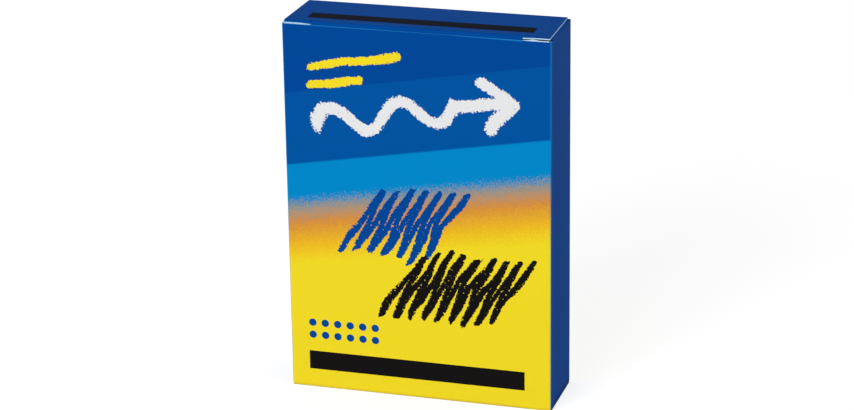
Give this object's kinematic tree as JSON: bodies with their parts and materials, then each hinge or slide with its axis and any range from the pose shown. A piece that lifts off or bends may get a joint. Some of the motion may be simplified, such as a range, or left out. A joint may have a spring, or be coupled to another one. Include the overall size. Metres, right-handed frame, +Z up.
{
  "type": "china marker box",
  "caption": "Upright tuck-top carton full of black wax china markers in paper sleeves, with a hinged lid, its tuck flap, rising dust flaps, a glued side seam and a sealed bottom.",
  "frame": {"origin": "on the floor, under the middle of the carton", "axes": "+Z up, -Y to the printed front, +X to the right of someone who looks at the front"},
  "size_m": [0.0822, 0.0238, 0.1168],
  "materials": {
    "printed_board": "satin",
    "glue": "matte",
    "black_wax": "satin",
    "sleeve_paper": "matte"
  },
  "bodies": {
    "carton": {"front_panel": "printed_board", "right_panel": "printed_board", "left_panel": "printed_board", "back_panel": "printed_board", "glue_flap": "printed_board", "bottom_outer_flap": "printed_board", "bottom_inner_flap": "printed_board", "bottom_left_dust_flap": "printed_board", "bottom_right_dust_flap": "printed_board", "seam_glue": "glue", "bottom_glue": "glue", "marker_01_wax": "black_wax", "marker_02_wax": "black_wax", "marker_03_wax": "black_wax", "marker_04_wax": "black_wax", "marker_05_wax": "black_wax", "marker_06_wax": "black_wax", "marker_07_wax": "black_wax", "marker_08_wax": "black_wax", "marker_09_wax": "black_wax", "marker_10_wax": "black_wax", "marker_11_wax": "black_wax", "marker_12_wax": "black_wax", "marker_01_sleeve": "sleeve_paper", "marker_02_sleeve": "sleeve_paper", "marker_03_sleeve": "sleeve_paper", "marker_04_sleeve": "sleeve_paper", "marker_05_sleeve": "sleeve_paper", "marker_06_sleeve": "sleeve_paper", "marker_07_sleeve": "sleeve_paper", "marker_08_sleeve": "sleeve_paper", "marker_09_sleeve": "sleeve_paper", "marker_10_sleeve": "sleeve_paper", "marker_11_sleeve": "sleeve_paper", "marker_12_sleeve": "sleeve_paper"},
    "lid": {"lid_panel": "printed_board"},
    "tuck": {"tuck_flap": "printed_board"},
    "left_dust": {"left_dust_flap": "printed_board"},
    "right_dust": {"right_dust_flap": "printed_board"}
  },
  "joints": [
    {"name": "lid_hinge", "type": "hinge", "parent": "carton", "child": "lid", "pos_m": [0, 0.01167, 0.11653], "axis": [-1, 0, 0], "range_deg": [0, 180]},
    {"name": "tuck_crease", "type": "hinge", "parent": "lid", "child": "tuck", "pos_m": [0, -0.01082, 0.11653], "axis": [1, 0, 0], "range_deg": [0, 45]},
    {"name": "left_dust_crease", "type": "hinge", "parent": "carton", "child": "left_dust", "pos_m": [-0.04085, 0, 0.11603], "axis": [0, -1, 0], "range_deg": [0, 63]},
    {"name": "right_dust_crease", "type": "hinge", "parent": "carton", "child": "right_dust", "pos_m": [0.04085, 0, 0.11603], "axis": [0, 1, 0], "range_deg": [0, 63]}
  ],
  "couplings": [
    {"joint": "tuck_crease", "follows": "lid_hinge", "ratio": 0.25},
    {"joint": "left_dust_crease", "follows": "lid_hinge", "ratio": 0.35},
    {"joint": "right_dust_crease", "follows": "lid_hinge", "ratio": 0.35}
  ]
}
